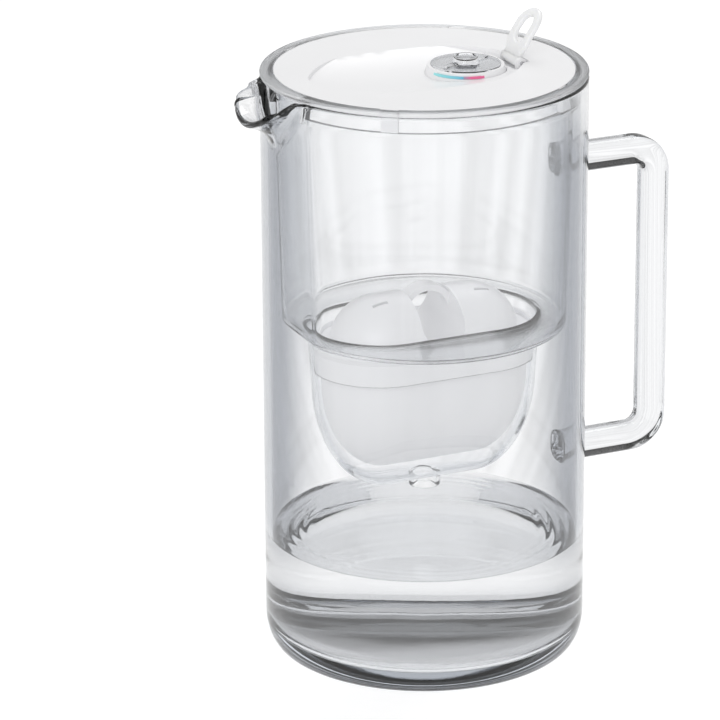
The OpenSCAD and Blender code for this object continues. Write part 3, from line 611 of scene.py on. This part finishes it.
def hopper_grid():
    """A profile carried round the axis: flange, collar, bowl, well and nozzle on the outside, then
    back up the inside. Round rows are circles cut by the pouring flat, and rows of the well are
    stadiums; in the window's columns the collar lies on the flat instead."""
    mid, ux, uy = well_columns()
    mouth_x, mouth_y = mid + MOUTH_W * ux, MOUTH_W * uy
    az = np.arctan2(mouth_y, mouth_x)
    c, s = np.cos(az), np.sin(az)
    off_spout = np.where(c < 0, np.abs(COLLAR_OUT * s), 99.0)
    window, web = off_spout < WINDOW_HALF, off_spout < WEB_HALF
    turn = np.abs(np.degrees(np.arcsin(np.abs(s))) - NOTCH_AT)
    notch = turn < NOTCH_HALF
    rows = []

    def put(r, z):
        r, z = np.broadcast_to(r, az.shape), np.broadcast_to(z, az.shape)
        rows.append(np.stack([r * c, r * s, z], -1))

    def oval(w, z):
        rows.append(np.stack([mid + w * ux, w * uy, np.broadcast_to(z, az.shape)], -1))

    def bowl(z, inset):
        """The bowl's radius: its taper, or the pouring flat where that is nearer, softly joined."""
        down = (COLLAR_Z - z) / (COLLAR_Z - BOWL_Z)
        flat = (FLAT_X - FLAT_TAPER * down - inset) / np.maximum(-c, 0.2)
        return soft_min(np.broadcast_to(BOWL_R - BOWL_TAPER * down - inset, az.shape), flat, FLAT_SOFT)

    def trough(x, y, w, bottom):
        """Height of the well's rounded bottom under a point."""
        d = np.hypot(np.maximum(np.abs(x) - END_X, 0), y)
        return WAIST_Z - (WAIST_Z - bottom) * np.sqrt(np.maximum(1 - (d / w) ** 2, 0))

    inner = np.where(notch, COLLAR_IN + NOTCH_DEEP, COLLAR_IN)
    put(inner, FLANGE_TOP - 0.4)
    put(inner + 0.12, FLANGE_TOP - 0.12)
    put(inner + 0.4, FLANGE_TOP)
    for t in np.radians(np.linspace(90, -90, 9)):
        put(68.9 + 1.07 * math.cos(t), 259.325 + 1.075 * math.sin(t))
    put(66.9, FLANGE_Z)
    for z, r, drop in ((257.9, 66.45, 0.6), (257.3, COLLAR_OUT, 0.9), (254, COLLAR_OUT, 0),
                       (249.1, COLLAR_OUT, 0), (248.75, 66.25, 0), (248.6, 65.9, 0), (248.6, 64.2, 0),
                       (248.45, 63.75, 0)):
        put(np.where(window, bowl(z, 0) + (0.3 if drop == 0.6 else 0), r), np.where(window, z - drop, z))
    for z in np.concatenate([[247.9], np.linspace(240, 156, 12), [151.0]]):
        put(bowl(z, 0), z)
    for t in np.radians(np.linspace(0, -90, 8))[1:]:
        put(bowl(151.0, 3) + 3 * math.cos(t), 151 + 3 * math.sin(t))
    oval(33.2, BOWL_Z)
    oval(32.2, BOWL_Z - 0.25)
    oval(MOUTH_W, BOWL_Z - 1.0)
    for z in np.linspace(146, WAIST_Z, 7):
        oval(WAIST_W + (MOUTH_W - WAIST_W) * (z - WAIST_Z) / (BOWL_Z + 2 - WAIST_Z), z)

    def under(w_wall, bottom, hole):
        """Rows of the rounded bottom from its waist to a round hole in the middle."""
        out = []
        for t in np.radians(np.linspace(0, 60, 16))[1:]:
            w = w_wall * math.cos(t)
            out.append((mid + w * ux, w * uy))
        end_x, end_y = out[-1]
        for k in np.linspace(0, 1, 12)[1:]:
            k = k ** 0.8
            out.append((end_x * (1 - k) + hole * c * k, end_y * (1 - k) + hole * s * k))
        return [np.stack([x, y, trough(x, y, w_wall, bottom)], -1) for x, y in out]

    rows.extend(under(WAIST_W, WELL_Z, NOZZLE_R + 0.5))
    for r, z in ((NOZZLE_R + 0.1, 76.1), (NOZZLE_R, 75.6), (NOZZLE_R, 72.5), (NOZZLE_R - 0.15, 72.15),
                 (NOZZLE_R - 0.5, NOZZLE_Z), (5.7, NOZZLE_Z), (5.4, 72.15), (5.3, 72.5), (5.3, 77.2), (5.4, 77.6)):
        put(r, z)
    floor_w = WAIST_W - WELL_WALL - 0.65
    rows.extend(under(floor_w, WELL_Z + WELL_WALL, 5.9)[::-1])
    for z in (WAIST_Z, 126, LEDGE_Z - 0.05):
        oval(floor_w + 1.35 * (z - WAIST_Z) / 28, z)
    oval(28.2, LEDGE_Z)
    for z in (LEDGE_Z + 0.05, 136, 142, 148, 149.4):
        oval(WAIST_W + 2 * (z - WAIST_Z) / 28 - WELL_WALL, z)
    oval(30.2, 149.85)
    oval(30.7, 150.0)
    oval(MOUTH_W, 150.0)
    put(bowl(151.0, 2) - 1, 150.0)
    put(bowl(151.0, 2) - 0.3, 150.3)
    for z in np.concatenate([[151.0], np.linspace(156, 240, 12), [250.2]]):
        put(bowl(z, 2), z)
    for r, z in ((61.8, SEAT_Z), (64.0, SEAT_Z), (COLLAR_IN, 250.9), (COLLAR_IN, 256.5)):
        put(np.where(web, bowl(z, 2), r), z)
    put(np.where(web, bowl(256.6, 2), inner), 256.6)
    put(np.where(web, bowl(257.5, 2) + 0.3, inner), np.where(web, 257.5, 257.3))
    put(inner, 258.1)
    return np.array(rows)


# the second colour is a painted grey shade where the plastic is seen edge on
clear_plastic = clear_material("clear_plastic", (0.985, 0.987, 0.99), (0.66, 0.69, 0.73), 0.30, 0.95, 1.49, 5,
                               (0.80, 0.82, 0.86), 0.03, 0.04, satin=True)
piece("hopper_shell", [torus_shell(hopper_grid())], "hopper", "hopper", clear_plastic, 30)


# ---- lid ------------------------------------------------------------------------------------
# A white moulded disc with a long boat-shaped dish. It drops into the flange on four legs.

def moulding(name, nodes_from, body, material, sharp=35):
    """A copy of one CAD node's mesh, merged and shaded smooth but for edges over sharp degrees."""
    bm = bmesh.new()
    bm.from_mesh(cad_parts[nodes_from].data)
    bmesh.ops.remove_doubles(bm, verts=bm.verts, dist=2e-6)
    bm.verts.index_update()
    # only points and faces are taken over, so that no normals of the unmerged mesh are left
    mesh = bpy.data.meshes.new(name)
    mesh.from_pydata([v.co[:] for v in bm.verts], [], [[v.index for v in f.verts] for f in bm.faces])
    bm.free()
    obj = bpy.data.objects.new(name, mesh)
    scene.collection.objects.link(obj)
    mesh.materials.append(material)
    mesh.shade_smooth()
    mesh.set_sharp_from_angle(angle=math.radians(sharp))
    weigh = obj.modifiers.new("even_normals", "WEIGHTED_NORMAL")
    weigh.keep_sharp = True
    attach(obj, body)
    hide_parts(nodes_from)
    return obj


def opaque_material(name, color, rough, smudged, strength=0.08, grain=0.25, subsurface=0.0,
                    grain_scale=1500):
    """Moulded stuff: its colour drifts by a few percent, and its gloss and surface vary softly."""
    darker, wave_scale = 0.96, 25
    mat, nodes, link, out = new_material(name)
    skin = nodes.new("ShaderNodeBsdfPrincipled")
    skin.inputs["Subsurface Weight"].default_value = subsurface
    skin.inputs["Subsurface Radius"].default_value = (0.004, 0.004, 0.0045)
    skin.inputs["Subsurface Scale"].default_value = 1
    where = nodes.new("ShaderNodeTexCoord")
    drift = noise(nodes, link, where.outputs["Object"], 35, 2)
    tone = mix_colors(nodes, link, drift, color, tuple(c * darker for c in color))
    link(tone, skin.inputs["Base Color"])
    surface_nodes(nodes, link, skin, rough, smudged, 30, wave_scale, grain_scale, grain, strength, 0.0004)
    link(skin.outputs[0], out.inputs["Surface"])
    return mat


white_plastic = opaque_material("white_plastic", (0.92, 0.92, 0.93), 0.28, 0.36)
moulding("lid_disc", "lid", "lid", white_plastic)


# ---- dial -----------------------------------------------------------------------------------
# A clear disc with a raised hub turns in a white bezel. Two printed bands on the bezel's side say
# how fresh the filter is.

DIAL_X = 19.5


def faded_ink(name, first, last, start_x, end_x):
    """Ink that changes from one colour to the other along X, over a faint mottle."""
    mat = opaque_material(name, first, 0.4, 0.45)
    nodes, link = mat.node_tree.nodes, mat.node_tree.links.new
    skin = nodes["Principled BSDF"]
    where, part = nodes.new("ShaderNodeTexCoord"), nodes.new("ShaderNodeSeparateXYZ")
    link(where.outputs["Object"], part.inputs[0])
    along = map_range(nodes, link, part.outputs["X"], start_x, end_x)
    fade = mix_colors(nodes, link, along, skin.inputs["Base Color"].links[0].from_socket, last)
    link(fade, skin.inputs["Base Color"])
    return mat


blue_ink = faded_ink("blue_ink", (0.36, 0.84, 0.86), (0.10, 0.45, 0.66), 0.003, 0.012)
red_ink = faded_ink("red_ink", (0.36, 0.30, 0.44), (0.86, 0.16, 0.34), 0.0115, 0.0145)
steel = opaque_material("steel", (0.6, 0.6, 0.62), 0.25, 0.35)
steel.node_tree.nodes["Principled BSDF"].inputs["Metallic"].default_value = 1
moulding("bezel", "dial_bezel", "lid", white_plastic)


def band_grid(start, stop, low=257.55, high=258.6, deep=0.3, proud=0.05):
    """A thin strip on the bezel's cone between two angles: a rectangle carried along an arc."""
    t = np.radians(np.linspace(start, stop, 48))[:, None]
    z = np.array([low, high, high, low])
    r = 16.5 + (259.7 - z) * 0.2326 + np.array([proud, proud, -deep, -deep])
    return np.stack([DIAL_X + r * np.cos(t), r * np.sin(t), np.broadcast_to(z, (48, 4))], -1)


piece("blue_band", [shell(band_grid(191, 241))], "lid", "fresh_arc", blue_ink)
piece("red_band", [shell(band_grid(241, 272))], "lid", "change_arc", red_ink)
moulding("knob", "dial_knob", "dial", clear_plastic)
for node, mat in (("dial_washer", steel), ("dial_retainer", white_plastic), ("ring_pin", steel)):
    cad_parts[node].data.materials.clear()
    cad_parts[node].data.materials.append(mat)


# ---- pull ring ------------------------------------------------------------------------------
# A milky ring with a long finger slot, hinged on a steel pin at the handle's end of the dish.

HINGE_X, HINGE_Z, LEAN, BEND = 41.5, 259.4, math.radians(17), math.radians(30)
RING_L, RING_W, RING_T, SLOT_W, SLOT_FROM, SLOT_TOP, BARREL_W = 24.0, 17.0, 2.4, 9.0, 7.6, 4.0, 13.4


def bend_back(u, s, o):
    """Puts a point of the flat ring on its curve: u across, s along from the hinge, o through it.
    The direction turns from LEAN to LEAN + BEND over the length."""
    k = BEND / RING_L
    a = LEAN + k * s
    return np.stack([HINGE_X + (math.cos(LEAN) - np.cos(a)) / k + o * np.cos(a), np.broadcast_to(u, a.shape),
                     HINGE_Z + (np.sin(a) - math.sin(LEAN)) / k - o * np.sin(a)], -1)


def loop_grid():
    """The strap round the finger slot. Each row is a ray from the slot's middle. Along it the strap
    reaches from the slot's oval to the ring's outline, found by halving: a half circle at the top,
    straight sides, and a waist of the barrel's width at the foot. Its section is a rounded box."""
    tau = np.radians(np.arange(0, 360, 2.5))
    cu, su = np.cos(tau), np.sin(tau)
    slot_low, slot_high = SLOT_FROM + SLOT_W / 2, RING_L - SLOT_TOP - SLOT_W / 2
    middle, half_slot, r = (slot_low + slot_high) / 2, (slot_high - slot_low) / 2, SLOT_W / 2
    side = r / np.maximum(np.abs(cu), 1e-6)
    cap = half_slot * np.abs(su) + np.sqrt(r * r - (half_slot * cu) ** 2)
    inner = np.where(side * np.abs(su) <= half_slot, side, cap)
    low, high = inner + 0.5, np.full(tau.shape, 30.0)
    for _ in range(40):
        rho = (low + high) / 2
        u, s = np.abs(rho * cu), middle + rho * su
        up = np.clip((s - 2.5) / 5, 0, 1)
        sides = (BARREL_W + (RING_W - BARREL_W) * up * up * (3 - 2 * up)) / 2
        over = np.clip(s - (RING_L - RING_W / 2), 0, RING_W / 2)
        inside = (u < sides) & (s > 1.0) & (u * u + over * over < RING_W ** 2 / 4) & (s < RING_L)
        low, high = np.where(inside, rho, low), np.where(inside, high, rho)
    half, mid = ((low - inner) / 2)[:, None], ((low + inner) / 2)[:, None]
    soft = 1.05
    a = (np.radians([0, 90, 180, 270])[:, None] + np.radians(np.linspace(0, 90, 7))).ravel()
    along = np.repeat([1, -1, -1, 1], 7) * (half - soft) + soft * np.cos(a)
    through = np.repeat([1, 1, -1, -1], 7) * (RING_T / 2 - soft) + soft * np.sin(a)
    rho = mid + along
    return bend_back(rho * cu[:, None], middle + rho * su[:, None], np.broadcast_to(through, rho.shape))


def barrel_grid():
    """A tube on the hinge pin: a rectangle with rounded corners carried round the pin's axis."""
    y = np.array([-1, -0.96, 0.96, 1, 1, -1]) * BARREL_W / 2
    r = np.array([2.0, 2.2, 2.2, 2.0, 1.06, 1.06])
    t = np.radians(np.arange(0, 360, 7.5))[:, None]
    return np.stack([HINGE_X + r * np.cos(t), np.broadcast_to(y, (48, 6)), HINGE_Z + r * np.sin(t)], -1)


milky = opaque_material("milky_plastic", (0.93, 0.935, 0.945), 0.18, 0.28, subsurface=0.35)
piece("finger_ring", [torus_shell(loop_grid()), torus_shell(barrel_grid())], "ring", "pull_ring",
      milky, 50)


# ---- cartridge ------------------------------------------------------------------------------
# An oval cup under a cover with two domes and a grip loop. The filling is sealed inside.

moulding("cartridge_body", "cartridge_cup", "cartridge", white_plastic)
moulding("cartridge_top", "cartridge_cover", "cartridge", white_plastic)
seal_grey = opaque_material("soft_seal", (0.85, 0.85, 0.86), 0.5, 0.6)
fleece = opaque_material("fleece", (0.86, 0.86, 0.84), 0.9, 1.0, strength=0.6, grain=0.8, grain_scale=2500)
granules = opaque_material("granules", (0.06, 0.055, 0.05), 0.5, 0.8, strength=1.0, grain=0.7,
                           grain_scale=1200)
for node, mat in (("cartridge_seal", seal_grey), ("inlet_screen", white_plastic), ("upper_fleece", fleece),
                  ("filter_granules", granules), ("lower_fleece", fleece), ("outlet_screen", white_plastic)):
    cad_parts[node].data.materials.clear()
    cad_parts[node].data.materials.append(mat)


# ---- water ----------------------------------------------------------------------------------
# Filtered water stands in the jug, as in a filled one on a table. It isn't part of the object.

WATER_Z, MENISCUS, MENISCUS_REACH, RIPPLE, OVERLAP = 52.0, 0.9, 1.6, 0.22, 0.1


def water_grid():
    """A surface of revolution that overlaps the glass by 0.1 mm, with its edge drawn up the wall and
    low ripples that die out 20 mm from it; they are highest at the two sides."""
    r_max, over = JUG_R - WALL + OVERLAP, OVERLAP
    t = np.radians(np.linspace(-90, 0, 15))
    low = np.stack([np.linspace(0.5, r_max - FLOOR_ROUND, 10), np.full(10, BASE_T - over)], -1)
    turn = np.stack([r_max - FLOOR_ROUND + FLOOR_ROUND * np.cos(t),
                     BASE_T - over + FLOOR_ROUND + FLOOR_ROUND * np.sin(t)], -1)
    r = np.concatenate([r_max - np.linspace(0, 6, 20) ** 1.3 / 6 ** 0.3, np.linspace(r_max - 6.5, 30, 60),
                        np.linspace(28, 0.5, 10)])
    top = np.stack([r, WATER_Z + MENISCUS * np.exp(-(r_max - r) / MENISCUS_REACH)], -1)
    profile = np.vstack([low, turn[1:], top])
    a = np.linspace(0, 2 * math.pi, 180, endpoint=False)
    rho, z = profile[:, 0, None], profile[:, 1, None]
    from_wall = r_max - rho
    swell = RIPPLE * np.exp(-((from_wall - 9) / 6) ** 2) * (0.15 + np.cos(a + 0.44) ** 4)
    ripple = swell * np.sin(from_wall * 1.35 + 1.3 * np.sin(3 * a) + 0.8 * np.sin(7 * a + 1))
    z = z + np.where(z > WATER_Z - 1, ripple, 0)
    return np.stack([rho * np.cos(a), rho * np.sin(a), z], -1)


# the second colour is a faint painted shade where the water is seen edge on
water_stuff = clear_material("water", (1, 1, 1), (0.88, 0.90, 0.92), 0.3, 0.9, 1.333, 0, (1, 1, 1), 0.0, 0.5,
                             22)
water = piece("water", [shell(water_grid())], None, material=water_stuff, sharp=60)
